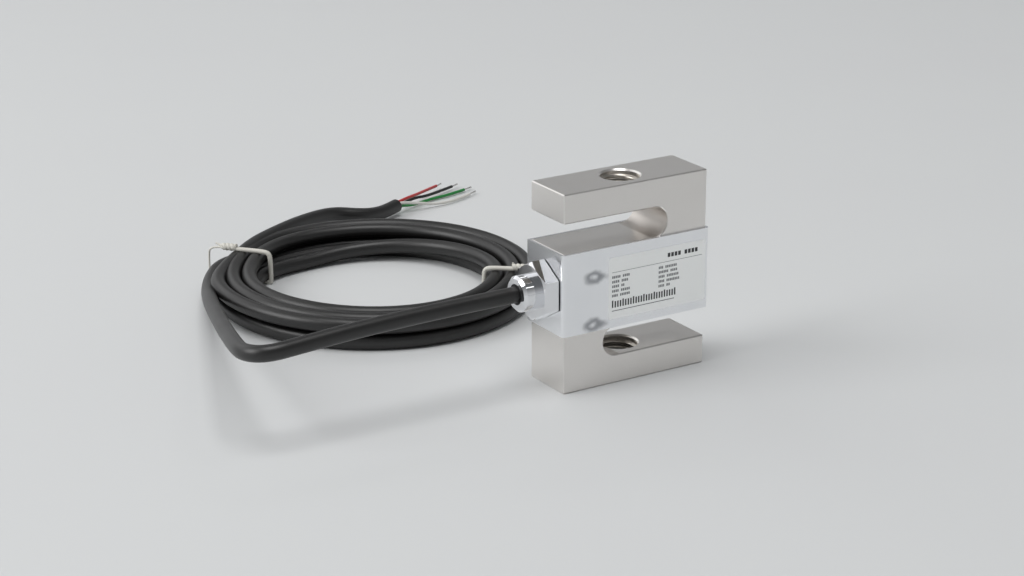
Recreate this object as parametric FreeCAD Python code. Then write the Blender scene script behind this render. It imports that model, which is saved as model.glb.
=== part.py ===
# S-type load cell: a machined S-shaped beam with a folded sheet cover round its gauged
# centre block, a hexagon cable gland on the left end, and its coiled signal cable.
#
# Frame: millimetres. The origin is the centre of the bottom face, on the load axis.
# +Z is up along the load axis, +X runs along the beam's width away from the gland, and
# the labelled face looks towards -Y.
import FreeCAD, Part
import math
import os

from FreeCAD import Vector

# ---------------------------------------------------------------- S beam
block_width = 51.0
block_depth = 18.0
block_height = 62.0
arm_thickness = 9.0
slot_height = 9.3
flexure_width = 14.2          # solid metal beyond each slot's closed end
edge_break = 0.3              # small bevel on the S's outer edges and end corners
thread_major = 12.0           # M12 load threads, drawn at their major diameter
thread_mouth_chamfer = 0.5

# gauge pockets in the centre block, one from the front and one from the rear
pocket_side_wall = 12.5       # metal left between a pocket and each end of the block
pocket_end_wall = 4.2         # metal left between a pocket and each slot
pocket_corner = 3.0
shear_web = 2.8               # metal left between the two pockets
feed_hole_diameter = 2.0      # lets the rear gauges' leads through the web
feed_hole_inset = 1.5         # from the pocket's lower wall to the hole's centre
cut_spare = 1.0               # cutters run past the metal by this much

# ---------------------------------------------------------------- cover and label
cover_sheet = 0.8
rear_cover_clearance = 0.15   # all round between the rear plate and the folded legs
label_width = 35.2
label_height = 19.2
label_film = 0.1
label_corner = 0.6
label_shift_x = 7.4
label_drop = 0.4              # the label's centre sits this far below the centre line

# ---------------------------------------------------------------- gland
gland_thread = 8.0            # stub screwed into the left end of the block
gland_stub_length = 7.0
gland_port_spare = 4.5        # hole depth left beyond the stub's end
port_shoulder = 0.5           # the wire passage is narrower than the port, each side
gland_across_flats = 16.0
gland_seat_gap = 0.3          # the O-ring holds the hexagon this far off the cover
gland_hex_length = 4.9
gland_hex_bevel = 0.7         # along the axis
gland_hex_bevel_depth = 1.2   # inwards from the corners
gland_spigot_diameter = 8.6   # threaded nose that the collar screws on to
gland_collar_diameter = 11.0
gland_collar_length = 5.0
gland_collar_wall = 0.9       # end wall that presses on the washer
gland_collar_bevel = 0.8
gland_running_gap = 0.1       # collar to spigot, and stub to port
seal_flange = 0.9
washer_thickness = 0.4
seal_wall = 0.6
seal_mouth_gap = 0.1          # seal to the collar's mouth
o_ring_section = 1.2
o_ring_diameter = 11.2        # to the middle of its section
cover_hole_gap = 0.2          # cover hole round the stub

# ---------------------------------------------------------------- cable
cable_diameter = 5.0
cable_bore_gap = 0.15         # gland bore round the jacket
core_diameter = 1.1
core_lay = 0.62               # each core's offset from the cable's middle, both ways
core_straight = 2.4           # cores keep their lay for this far out of the jacket
jacket_inset = 3.4            # the jacket stops this far inside the stub's end
conductor_diameter = 0.6
conductor_bare = 4.5
core_gap = 0.1                # cores to the metal and board that they pass
outer_core_swing = 0.37       # the outer cores' offset to the rear as they leave the port
inner_core_swing = 1.05       # the inner cores' offset to the front there

# coil lying on the floor behind and left of the block
coil_x = -30.5
coil_y = 99.5
coil_inner_radius = 38.0
coil_outer_radius = 54.0
coil_height = 10.4

# twist ties round the coil, of coated wire
tie_wire = 1.6
tie_gap = 0.1
tie_foot_corner = 1.2         # bends under the coil
tie_twist_diameter = 2.8
tie_twist_length = 6.5
tie_twist_rounding = 0.5

# ---------------------------------------------------------------- gauging, inside
gauge_length = 6.0
gauge_width = 4.0
gauge_film = 0.15
gauge_spacing = 8.6           # between the two gauges on one side of the web
gauge_slant = 45.0            # degrees, along the direction of shear strain
board_length = 5.0
board_margin = 3.0            # from the pocket's top and bottom walls
board_thickness = 0.8
board_inset = 1.6             # from the pocket's left wall
pad_column = 1.25             # the leads' pads, right of the board's middle
pad_inset = 1.2               # from the board's top and bottom edges to the outer pads
resistor_diameter = 1.5
resistor_length = 4.2
resistor_inset = 0.6          # from the pocket's top and bottom walls
lead_wire = 0.3
lead_end_x = 0.4              # a lead ends on its gauge this far left of the middle,
lead_end_z = 0.8              # and this far above or below it
lead_bend_gap = 0.8           # a lead bends this far before it reaches its gauge
lead_spread = 1.2             # leads spread by this much on the way to their gauge
lead_bow = 0.25               # slack that lifts a lead off the metal
rear_lead_drop = 3.2          # the rear leads' bend, below the centre line
feed_spread = 0.4             # between a lead and the feed hole's centre
potting_depth = 3.6           # plug poured under each cover

# ---------------------------------------------------------------- worked out once
centre_height = block_height - 2 * (arm_thickness + slot_height)
centre_z = block_height / 2
pocket_width = block_width - 2 * pocket_side_wall
pocket_height = centre_height - 2 * pocket_end_wall
slot_radius = slot_height / 2
slot_end_x = block_width / 2 - flexure_width - slot_radius
front_face = -block_depth / 2
left_face = -block_width / 2 - cover_sheet
cable_radius = cable_diameter / 2
spigot_length = gland_collar_length - gland_collar_wall - washer_thickness - seal_flange
hex_seat_x = left_face - gland_seat_gap
hex_outer_x = hex_seat_x - gland_hex_length
nose_x = hex_outer_x - gland_collar_length
stub_end_x = left_face + gland_stub_length
port_radius = gland_thread / 2
port_end_x = stub_end_x + gland_port_spare
passage_radius = port_radius - port_shoulder
pocket_left_x = -pocket_width / 2
board_height = pocket_height - 2 * board_margin
board_left_x = pocket_left_x + board_inset
board_centre_x = board_left_x + board_length / 2
pad_x = board_centre_x + pad_column
pad_pitch = (board_height - 2 * pad_inset) / 3
gauge_centre_x = (board_left_x + board_length + pocket_width / 2) / 2
web_front = -shear_web / 2
feed_hole_z = centre_z - pocket_height / 2 + feed_hole_inset
pocket_deep = (block_depth - shear_web) / 2
jacket_end_x = stub_end_x - jacket_inset
tie_clear = tie_gap + tie_wire / 2
tie_top = coil_height + tie_clear

# Route points of the straight runs, from the gland's nose to the coil. The cable is
# drawn out straight, folds back sharply and comes down beside the coil.
lead_route = [
    (nose_x, 0.0, centre_z),
    (-62.0, 0.0, centre_z),
    (-89.0, 0.1, 30.4),
    (-107.5, 0.0, 29.3),
    (-117.7, 0.0, 28.7),
    (-121.8, 6.5, 27.9),
    (-118.1, 19.6, 25.2),
    (-108.5, 48.3, 19.3),
    (-97.6, 78.8, 13.2),
    (-89.7, 99.8, 8.8),
    (-82.2, 118.0, 5.2),
    (-75.0, 132.0, 4.6),
    (-65.5, 143.0, 4.4),
]
# The free end leaves the top of the coil and runs down on to the floor behind it.
tail_route = [
    (-53.5, 143.0, 7.0),
    (-43.1, 151.7, 7.5),
    (-29.1, 160.2, 7.8),
    (-15.6, 167.3, 6.8),
    (-7.7, 169.0, 5.9),
    (-0.9, 167.0, 4.8),
    (5.0, 166.8, 3.9),
    (12.0, 169.4, 3.2),
    (21.6, 174.7, 2.8),
]
# Each core fans out from the sheath's end: (y, z) of its start in the sheath, then the
# points that it passes.
core_routes = {
    "red": ((1, 1), [(25.8, 176.9, 4.4), (31.2, 180.0, 3.9), (38.3, 185.3, 3.0),
                     (45.7, 190.4, 2.2)]),
    "black": ((1, -1), [(31.0, 180.7, 2.5), (34.8, 180.8, 2.3), (42.3, 184.0, 1.9),
                        (51.6, 188.9, 1.4)]),
    "green": ((-1, -1), [(27.1, 176.5, 1.3), (33.1, 179.0, 0.9), (39.0, 181.0, 0.9),
                         (45.1, 181.3, 0.9), (54.3, 184.3, 0.9)]),
    "white": ((-1, 1), [(29.3, 173.3, 2.6), (34.6, 173.4, 1.3), (43.0, 173.6, 0.9),
                        (53.2, 178.3, 0.9)]),
}
# Where the ties cross the coil, in degrees round it, and their outer uprights' radii.
left_tie = {"angle": 131.0, "outer_radius": 59.6}
right_tie = {"angle": -40.0, "outer_radius": coil_outer_radius + tie_clear}


# ---------------------------------------------------------------- helpers
def vec(point):
    """Return a FreeCAD vector from any three numbers."""
    return Vector(*point)


def box(x0, x1, y0, y1, z0, z1):
    """Return a box between two opposite corners."""
    return Part.makeBox(x1 - x0, y1 - y0, z1 - z0, Vector(x0, y0, z0))


def rod(start, axis, radius, length):
    """Return a round bar from start along axis."""
    return Part.makeCylinder(radius, length, vec(start), vec(axis))


def ring_about_x(profile):
    """Revolve a closed list of (x, radius) points about the gland's axis."""
    points = [Vector(x, 0, centre_z + radius) for x, radius in profile]
    outline = Part.makePolygon(points + [points[0]])
    axis_point = Vector(0, 0, centre_z)
    return Part.Face(outline).revolve(axis_point, Vector(1, 0, 0), 360)


def rounded_rectangle(width, height, corner, y, x_mid, z_mid):
    """Return a rounded rectangle face in the plane at y, facing along Y."""
    half_w, half_h = width / 2, height / 2
    slab = Part.makeBox(width, 1, height, Vector(x_mid - half_w, y, z_mid - half_h))
    uprights = [e for e in slab.Edges if abs(e.tangentAt(e.FirstParameter).y) > 0.9]
    slab = slab.makeFillet(corner, uprights)
    return [f for f in slab.Faces if abs(f.CenterOfMass.y - y) < 1e-6][0]


def path_of(points):
    """Join straight runs by tangent arcs as large as the runs allow; list the radii."""
    points = [vec(p) for p in points]
    edges, radii = [], []
    start = points[0]
    for before, corner, after in zip(points, points[1:], points[2:]):
        back = (before - corner).normalize()
        ahead = (after - corner).normalize()
        half_turn = (math.pi - back.getAngle(ahead)) / 2
        reach = 0.45 * min(corner.distanceToPoint(before), corner.distanceToPoint(after))
        radius = reach / math.tan(half_turn)
        inward = (back + ahead).normalize()
        middle = corner + inward * (math.hypot(reach, radius) - radius)
        arc_start = corner + back * reach
        arc_end = corner + ahead * reach
        edges.append(Part.LineSegment(start, arc_start).toShape())
        edges.append(Part.Arc(arc_start, middle, arc_end).toShape())
        radii.append(radius)
        start = arc_end
    edges.append(Part.LineSegment(start, points[-1]).toShape())
    return Part.Wire(edges), radii


def tube(points, diameter, name=""):
    """Sweep a round section along a route; print its radii if it is named."""
    path, radii = path_of(points)
    direction = vec(points[1]) - vec(points[0])
    section = Part.Wire(Part.makeCircle(diameter / 2, vec(points[0]), direction))
    solid = path.makePipeShell([section], True, False)
    if name:
        expected = math.pi * (diameter / 2) ** 2 * path.Length
        print(f"{name}: length {path.Length:.1f} mm, volume ratio {solid.Volume / expected:.4f},"
              f" radii {[round(r, 1) for r in radii]}")
    return solid


# ---------------------------------------------------------------- S beam
def s_outline():
    """Return the S face in the front plane: a block with a round-ended slot each side."""
    half = block_width / 2
    lower = arm_thickness
    upper = block_height - arm_thickness
    y = front_face

    def at(x, z):
        return Vector(x, y, z)

    def line(a, b):
        return Part.LineSegment(a, b).toShape()

    def slot(sign, z0):
        """Edges of one slot, open on the side of sign, walked from z0 to its other wall."""
        z1 = z0 + slot_height
        end_x = -sign * slot_end_x
        tip = Part.Arc(at(end_x, z0), at(end_x - sign * slot_radius, z0 + slot_radius),
                       at(end_x, z1)).toShape()
        return [line(at(sign * half, z0), at(end_x, z0)), tip,
                line(at(end_x, z1), at(sign * half, z1))]

    edges = [line(at(-half, 0), at(half, 0)), line(at(half, 0), at(half, lower))]
    edges += slot(1, lower)
    edges += [line(at(half, lower + slot_height), at(half, block_height)),
              line(at(half, block_height), at(-half, block_height)),
              line(at(-half, block_height), at(-half, upper))]
    edges += slot(-1, upper - slot_height)
    edges += [line(at(-half, upper - slot_height), at(-half, 0))]
    return Part.Face(Part.Wire(Part.sortEdges(edges)[0]))


def outer_edges(body):
    """Return the edges round both S faces, and those across the outline's corners."""
    found = []
    for edge in body.Edges:
        middle = edge.CenterOfMass
        on_face = abs(abs(middle.y) - block_depth / 2) < 1e-6
        on_end = abs(abs(middle.x) - block_width / 2) < 1e-6
        if on_face or (on_end and abs(edge.tangentAt(edge.FirstParameter).y) > 0.9):
            found.append(edge)
    return found


def load_thread(bottom_z):
    """Return the cutter for one M12 hole through an arm, with both mouths chamfered."""
    radius = thread_major / 2
    flare = thread_mouth_chamfer
    hole = rod((0, 0, bottom_z), (0, 0, 1), radius, arm_thickness)
    low = Part.makeCone(radius + flare, radius, flare, Vector(0, 0, bottom_z))
    high = Part.makeCone(radius, radius + flare, flare,
                         Vector(0, 0, bottom_z + arm_thickness - flare))
    return hole.fuse([low, high])


def gauge_pocket(side):
    """Return the cutter for one gauge pocket; side is -1 at the front, +1 at the rear."""
    y = side * block_depth / 2
    face = rounded_rectangle(pocket_width, pocket_height, pocket_corner, y, 0, centre_z)
    return face.extrude(Vector(0, -side * pocket_deep, 0))


def gland_port():
    """Return the cutter for the gland's tapped hole and the wire passage beyond it."""
    start = (-block_width / 2, 0, centre_z)
    depth = port_end_x + block_width / 2
    port = rod(start, (1, 0, 0), port_radius, depth)
    reach = pocket_left_x - port_end_x
    passage = rod((port_end_x, 0, centre_z), (1, 0, 0), passage_radius, reach)
    return port.fuse(passage)


def s_beam_body():
    """Return the machined S beam."""
    face = s_outline()
    body = face.extrude(Vector(0, block_depth, 0))
    body = body.makeChamfer(edge_break, outer_edges(body))
    for bottom in (0, block_height - arm_thickness):
        body = body.cut(load_thread(bottom))
    for side in (-1, 1):
        body = body.cut(gauge_pocket(side))
    body = body.cut(gland_port())
    feed = rod((board_centre_x, -shear_web, feed_hole_z), (0, 1, 0),
               feed_hole_diameter / 2, 2 * shear_web)
    return body.cut(feed)


# ---------------------------------------------------------------- cover and label
def front_cover():
    """Return the folded cover: the front panel and a leg along each end of the block."""
    half = block_width / 2
    low = centre_z - centre_height / 2
    back = block_depth / 2 + cover_sheet
    outer = box(-half - cover_sheet, half + cover_sheet, front_face - cover_sheet, back,
                low, low + centre_height)
    outer_bend = edge_break + cover_sheet
    outer = outer.makeFillet(outer_bend, upright_edges(outer, front_face - cover_sheet))
    inner = box(-half, half, front_face, back + cut_spare,
                low - cut_spare, low + centre_height + cut_spare)
    inner = inner.makeFillet(edge_break, upright_edges(inner, front_face))
    hole = rod((left_face - cut_spare, 0, centre_z), (1, 0, 0),
               port_radius + cover_hole_gap, cover_sheet + 2 * cut_spare)
    return outer.cut(inner).cut(hole)


def upright_edges(shape, y):
    """Return the vertical edges that lie in the plane at y."""
    found = []
    for edge in shape.Edges:
        middle = edge.CenterOfMass
        if abs(middle.y - y) < 1e-6 and abs(edge.tangentAt(edge.FirstParameter).z) > 0.9:
            found.append(edge)
    return found


def rear_cover():
    """Return the flat plate that closes the rear pocket, between the cover's legs."""
    half = block_width / 2 - rear_cover_clearance
    low = centre_z - centre_height / 2
    rear = block_depth / 2
    return box(-half, half, rear, rear + cover_sheet, low, low + centre_height)


def label():
    """Return the film label on the front cover."""
    face = rounded_rectangle(label_width, label_height, label_corner,
                             front_face - cover_sheet, label_shift_x, centre_z - label_drop)
    return face.extrude(Vector(0, -label_film, 0))


# ---------------------------------------------------------------- gland
def gland_body():
    """Return the hexagon body with its threaded stub, threaded nose and cable bore."""
    across_corners = gland_across_flats / math.cos(math.radians(30))
    corners = []
    for step in range(7):
        turn = math.radians(60 * step)
        corners.append(Vector(hex_seat_x, across_corners / 2 * math.sin(turn),
                              centre_z + across_corners / 2 * math.cos(turn)))
    prism = Part.Face(Part.makePolygon(corners)).extrude(Vector(-gland_hex_length, 0, 0))
    rim = across_corners / 2
    bevelled = ring_about_x([
        (hex_seat_x, 0), (hex_seat_x, rim),
        (hex_outer_x + gland_hex_bevel, rim),
        (hex_outer_x, rim - gland_hex_bevel_depth), (hex_outer_x, 0)])
    hexagon = prism.common(bevelled)
    stub = rod((hex_seat_x, 0, centre_z), (1, 0, 0), port_radius - gland_running_gap,
               stub_end_x - hex_seat_x)
    nose = rod((hex_outer_x, 0, centre_z), (-1, 0, 0), gland_spigot_diameter / 2,
               spigot_length)
    solid = hexagon.fuse([stub, nose])
    length = stub_end_x - hex_outer_x + spigot_length
    bore = rod((hex_outer_x - spigot_length, 0, centre_z), (1, 0, 0),
               cable_radius + cable_bore_gap, length)
    groove = ring_about_x(groove_section())
    return solid.cut(bore).cut(groove).removeSplitter()


def groove_section():
    """Return the (x, radius) outline of the O-ring's groove in the hexagon's inner face."""
    inner = (o_ring_diameter - o_ring_section) / 2
    outer = (o_ring_diameter + o_ring_section) / 2
    return [(hex_seat_x, inner), (hex_seat_x, outer),
            (left_face - o_ring_section, outer), (left_face - o_ring_section, inner)]


def gland_o_ring():
    """Return the O-ring that seals the hexagon to the cover."""
    return Part.makeTorus(o_ring_diameter / 2, o_ring_section / 2,
                          Vector(left_face - o_ring_section / 2, 0, centre_z),
                          Vector(1, 0, 0))


def gland_collar():
    """Return the round compression collar with a bevelled nose."""
    rim = gland_collar_diameter / 2
    inner = gland_spigot_diameter / 2 + gland_running_gap
    mouth = cable_radius + seal_wall + seal_mouth_gap
    wall_x = nose_x + gland_collar_wall
    return ring_about_x([
        (hex_outer_x, inner), (hex_outer_x, rim),
        (nose_x + gland_collar_bevel, rim), (nose_x, rim - gland_collar_bevel),
        (nose_x, mouth), (wall_x, mouth), (wall_x, inner)])


def gland_washer():
    """Return the thrust washer between the collar's end wall and the seal."""
    wall_x = nose_x + gland_collar_wall
    inner = cable_radius + seal_wall + seal_mouth_gap
    outer = gland_spigot_diameter / 2
    return ring_about_x([(wall_x, inner), (wall_x, outer),
                         (wall_x + washer_thickness, outer),
                         (wall_x + washer_thickness, inner)])


def gland_seal():
    """Return the rubber seal: a flange squeezed on the nose and a sleeve to the mouth."""
    flange_x = nose_x + gland_collar_wall + washer_thickness
    sleeve = cable_radius + seal_wall
    outer = gland_spigot_diameter / 2
    return ring_about_x([(nose_x, cable_radius), (nose_x, sleeve), (flange_x, sleeve),
                         (flange_x, outer), (flange_x + seal_flange, outer),
                         (flange_x + seal_flange, cable_radius)])


# ---------------------------------------------------------------- cable
def cable_inner_end():
    """Return the stretch of cable that is held inside the gland and its port."""
    return rod((nose_x, 0, centre_z), (1, 0, 0), cable_radius, jacket_end_x - nose_x)


def coil_ring():
    """Return the coil's outer shape, with rounded corners, before it is notched."""
    corner = cable_radius
    low = Vector(coil_inner_radius, 0, 0)
    width = coil_outer_radius - coil_inner_radius
    slab = Part.makeBox(width, 1, coil_height, low)
    along = [e for e in slab.Edges if abs(e.tangentAt(e.FirstParameter).y) > 0.9]
    slab = slab.makeFillet(corner, along)
    section = [f for f in slab.Faces if abs(f.CenterOfMass.y) < 1e-6][0]
    ring = section.revolve(Vector(0, 0, 0), Vector(0, 0, 1), 360)
    ring.translate(Vector(coil_x, coil_y, 0))
    return ring


def cable_coil():
    """Return the coil, notched underneath where the ties pass."""
    ring = coil_ring()
    half = tie_clear + tie_gap
    for tie in (left_tie, right_tie):
        notch = box(coil_inner_radius - cut_spare, coil_outer_radius + cut_spare,
                    -half, half, -cut_spare, tie_wire + 2 * tie_gap)
        ring = ring.cut(turned_to(notch, tie["angle"]))
    return ring


def turned_to(shape, angle):
    """Turn a shape drawn along +X about the coil's axis, and move it to the coil."""
    shape.rotate(Vector(0, 0, 0), Vector(0, 0, 1), angle)
    shape.translate(Vector(coil_x, coil_y, 0))
    return shape


def cable_lead():
    """Return the cable from the gland's nose to the coil."""
    return tube(lead_route, cable_diameter, "cable_lead").cut(coil_ring())


def cable_tail():
    """Return the free end of the cable, from the coil to the end of its sheath."""
    return tube(tail_route, cable_diameter, "cable_tail").cut(coil_ring())


def core_starts(side_y, side_z):
    """Return two points: where a core leaves the sheath, and where it starts to fan out."""
    end = vec(tail_route[-1])
    ahead = (end - vec(tail_route[-2])).normalize()
    across = Vector(-ahead.y, ahead.x, 0).normalize()
    upward = ahead.cross(across)
    start = end + across * (core_lay * side_y) + upward * (core_lay * side_z)
    return [start, start + ahead * core_straight]


def outer_core(colour):
    """Return one insulated core, fanned out from the sheath's end."""
    (side_y, side_z), points = core_routes[colour]
    return tube(core_starts(side_y, side_z) + points, core_diameter)


def bare_ends():
    """Return the tinned conductors that stand out of the four cores."""
    ends = []
    for _, points in core_routes.values():
        last = vec(points[-1])
        ahead = (last - vec(points[-2])).normalize()
        ends.append(rod(last, ahead, conductor_diameter / 2, conductor_bare))
    return Part.makeCompound(ends)


def inner_core(row):
    """Return one core from the jacket's end to its pad on the terminal board.

    Rows count upwards. The two outer rows start at the rear of the cable and pass outside
    the two inner ones, which start at its front.
    """
    pitch = core_diameter + core_gap
    outer = row in (0, 3)
    side_y = 1 if outer else -1
    side_z = -1 if row < 2 else 1
    lift = pitch * (1.5 if outer else 0.5) * side_z
    pass_y = web_front - core_gap - core_diameter / 2
    board_y = web_front - board_thickness - core_gap - core_diameter / 2
    swing_y = outer_core_swing if outer else -inner_core_swing
    return tube([
        (jacket_end_x, side_y * core_lay, centre_z + side_z * core_lay),
        (jacket_end_x + core_straight, side_y * core_lay, centre_z + side_z * core_lay),
        (port_end_x - gland_port_spare / 2, swing_y, centre_z + lift),
        (port_end_x, pass_y, centre_z + lift),
        (pocket_left_x + core_gap, pass_y - core_gap, centre_z + lift),
        (board_left_x - core_diameter / 2, board_y, centre_z + lift),
        (board_centre_x, board_y, centre_z + lift)], core_diameter)


# ---------------------------------------------------------------- ties
def tie_loop(outer_radius):
    """Return a closed wire loop round the coil's section, drawn in the XZ plane."""
    r0 = coil_inner_radius - tie_clear
    r1 = outer_radius
    z0 = tie_wire / 2
    crown = cable_radius + tie_clear
    corners = [(r1, z0, tie_foot_corner), (r1, tie_top, crown), (r0, tie_top, crown),
               (r0, z0, tie_foot_corner)]
    points = [Vector(x, 0, z) for x, z, _ in corners]
    start = (points[0] + points[-1]) / 2
    here = start
    edges = []
    for point, after, (_, _, radius) in zip(points, points[1:] + points[:1], corners):
        back = (here - point).normalize()
        ahead = (after - point).normalize()
        middle = point + (back + ahead) * radius * (1 - math.sqrt(0.5))
        edges.append(Part.LineSegment(here, point + back * radius).toShape())
        here = point + ahead * radius
        edges.append(Part.Arc(point + back * radius, middle, here).toShape())
    edges.append(Part.LineSegment(here, start).toShape())
    section = Part.Wire(Part.makeCircle(tie_wire / 2, start, Vector(1, 0, 0)))
    return Part.Wire(edges).makePipeShell([section], True, False)


def twist_tie(tie):
    """Return one tie: the loop round the bundle and its twisted end, lying on top."""
    loop = tie_loop(tie["outer_radius"])
    start = tie["outer_radius"] - cable_radius - tie_clear - tie_twist_length
    radius = tie_twist_diameter / 2
    twist = rod((start, 0, coil_height + tie_gap + radius), (1, 0, 0), radius,
                tie_twist_length)
    twist = twist.makeFillet(tie_twist_rounding, twist.Edges[:1] + twist.Edges[2:])
    return turned_to(loop.fuse(twist), tie["angle"])


# ---------------------------------------------------------------- gauging
def strain_gauge(side, column):
    """Return one strain gauge bonded on the web at 45 degrees; column is -1 or +1."""
    surface = side * shear_web / 2
    x = gauge_centre_x + column * gauge_spacing / 2
    y0, y1 = sorted((surface, surface + side * gauge_film))
    film = box(x - gauge_length / 2, x + gauge_length / 2, y0, y1,
               centre_z - gauge_width / 2, centre_z + gauge_width / 2)
    film.rotate(Vector(x, 0, centre_z), Vector(0, 1, 0), column * gauge_slant)
    return film


def terminal_board():
    """Return the solder terminal board bonded on the front of the web."""
    return box(board_left_x, board_left_x + board_length,
               web_front - board_thickness, web_front,
               centre_z - board_height / 2, centre_z + board_height / 2)


def trim_resistor(level):
    """Return one trim resistor lying on the web; level is -1 below, +1 above."""
    radius = resistor_diameter / 2
    z = centre_z + level * (pocket_height / 2 - resistor_inset - radius)
    body = rod((gauge_centre_x - resistor_length / 2, web_front - radius, z), (1, 0, 0),
               radius, resistor_length)
    return body.makeFillet(radius / 3, [body.Edges[0], body.Edges[2]])


def front_gauge_leads():
    """Return the fine leads from the front gauges to the terminal board."""
    on_board = web_front - board_thickness - lead_wire / 2
    on_gauge = web_front - gauge_film - lead_wire / 2
    board_right = board_left_x + board_length
    leads = []
    for level in (-1, 1):
        for column in (-1, 1):
            gauge_x = gauge_centre_x + column * gauge_spacing / 2
            pad_z = centre_z + level * pad_pitch * (1 + column / 2)
            leads.append(tube([
                (pad_x, on_board, pad_z),
                (board_right + lead_bow, on_board - lead_bow / 4, pad_z + level * lead_bow),
                (gauge_x - gauge_width / 2 - lead_bend_gap, on_gauge - lead_bow,
                 pad_z + level * lead_spread),
                (gauge_x - lead_end_x, on_gauge, centre_z + level * lead_end_z)], lead_wire))
    return Part.makeCompound(leads)


def rear_gauge_leads():
    """Return the fine leads from the rear gauges, through the web to the front side."""
    on_gauge = shear_web / 2 + gauge_film + lead_wire / 2
    on_board = web_front - board_thickness - lead_wire / 2
    leads = []
    for column in (-1, 1):
        gauge_x = gauge_centre_x + column * gauge_spacing / 2
        hole_x = board_centre_x + column * feed_spread
        leads.append(tube([
            (gauge_x - lead_end_x, on_gauge, centre_z - lead_end_z),
            (gauge_x - gauge_width / 2 - lead_bend_gap, on_gauge + lead_bow,
             centre_z - rear_lead_drop - column * lead_spread),
            (hole_x + 2 * lead_bow, on_gauge + lead_bow, feed_hole_z),
            (hole_x, 0.0, feed_hole_z - lead_bow / 2),
            (hole_x + lead_bow, on_board, feed_hole_z + lead_bow),
            (pad_x + (column - 1) * feed_spread, on_board,
             centre_z - board_height / 2 + lead_end_z)], lead_wire))
    return Part.makeCompound(leads)


def potting(side):
    """Return the potting plug that fills one pocket's mouth under its cover."""
    y = side * block_depth / 2
    face = rounded_rectangle(pocket_width, pocket_height, pocket_corner, y, 0, centre_z)
    return face.extrude(Vector(0, -side * potting_depth, 0))


# ---------------------------------------------------------------- export
def build():
    """Make every piece, keyed by its node's name."""
    pieces = {
        "s_beam_body": s_beam_body(),
        "front_cover": front_cover(),
        "rear_cover": rear_cover(),
        "label": label(),
        "gland_body": gland_body(),
        "gland_collar": gland_collar(),
        "gland_washer": gland_washer(),
        "gland_seal": gland_seal(),
        "gland_o_ring": gland_o_ring(),
        "cable_inner_end": cable_inner_end(),
        "cable_lead": cable_lead(),
        "cable_coil": cable_coil(),
        "cable_tail": cable_tail(),
        "bare_conductors": bare_ends(),
        "twist_tie_left": twist_tie(left_tie),
        "twist_tie_right": twist_tie(right_tie),
        "terminal_board": terminal_board(),
        "span_resistor": trim_resistor(1),
        "zero_resistor": trim_resistor(-1),
        "front_gauge_leads": front_gauge_leads(),
        "rear_gauge_leads": rear_gauge_leads(),
        "front_potting": potting(-1),
        "rear_potting": potting(1),
    }
    for colour in core_routes:
        pieces[f"core_{colour}"] = outer_core(colour)
    for row, colour in enumerate(core_routes):
        pieces[f"inner_core_{colour}"] = inner_core(row)
    for side, side_name in ((-1, "front"), (1, "rear")):
        for column, column_name in ((-1, "left"), (1, "right")):
            name = f"{side_name}_gauge_{column_name}"
            pieces[name] = strain_gauge(side, column)
    return pieces


def main():
    """Export each piece to its own STEP file."""
    os.makedirs("parts", exist_ok=True)
    for name, shape in build().items():
        shape.exportStep(f"parts/{name}.step")
        print(f"{name}: {len(shape.Solids)} solid(s), {shape.Volume:.2f} mm3")


main()
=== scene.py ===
"""Finishes, fine detail and signal cable of the S-type load cell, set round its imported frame.

Everything is in metres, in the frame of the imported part: the origin is the centre of the
bottom face, +Z is up along the load axis, +X points away from the gland, and the labelled
face looks towards -Y.
"""
import logging
import math
from collections.abc import Sequence
from dataclasses import dataclass, field
from enum import Enum

import bpy
from mathutils import Matrix, Vector


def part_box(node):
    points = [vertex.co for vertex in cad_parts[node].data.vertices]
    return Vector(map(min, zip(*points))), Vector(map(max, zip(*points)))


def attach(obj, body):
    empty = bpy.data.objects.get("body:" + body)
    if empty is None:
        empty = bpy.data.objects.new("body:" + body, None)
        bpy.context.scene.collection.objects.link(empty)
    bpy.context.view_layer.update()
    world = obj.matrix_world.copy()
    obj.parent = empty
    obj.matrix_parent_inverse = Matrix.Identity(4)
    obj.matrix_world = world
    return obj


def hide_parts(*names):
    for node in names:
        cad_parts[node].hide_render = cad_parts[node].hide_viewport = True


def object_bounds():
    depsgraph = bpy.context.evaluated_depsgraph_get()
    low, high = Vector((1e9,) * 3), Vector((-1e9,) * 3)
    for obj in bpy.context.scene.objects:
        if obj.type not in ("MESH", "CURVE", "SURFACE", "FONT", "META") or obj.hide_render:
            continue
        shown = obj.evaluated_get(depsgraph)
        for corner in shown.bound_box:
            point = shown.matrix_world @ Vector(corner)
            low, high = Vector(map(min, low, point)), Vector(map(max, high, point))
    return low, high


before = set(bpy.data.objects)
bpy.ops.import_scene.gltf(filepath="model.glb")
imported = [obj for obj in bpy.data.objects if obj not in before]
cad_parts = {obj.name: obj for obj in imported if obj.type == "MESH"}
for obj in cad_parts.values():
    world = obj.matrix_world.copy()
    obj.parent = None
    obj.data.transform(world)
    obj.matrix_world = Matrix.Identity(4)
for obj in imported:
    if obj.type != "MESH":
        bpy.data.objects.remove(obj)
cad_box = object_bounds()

LOG = logging.getLogger("load_cell")
BODY = "root"
MM = 0.001

Tree = bpy.types.NodeTree
Node = bpy.types.Node
Socket = bpy.types.NodeSocket
Piece = bpy.types.Object
Point = tuple[float, float, float]
Span = tuple[float, float]
Mark = tuple[float, float, float, float]      # left, right, bottom and top


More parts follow.
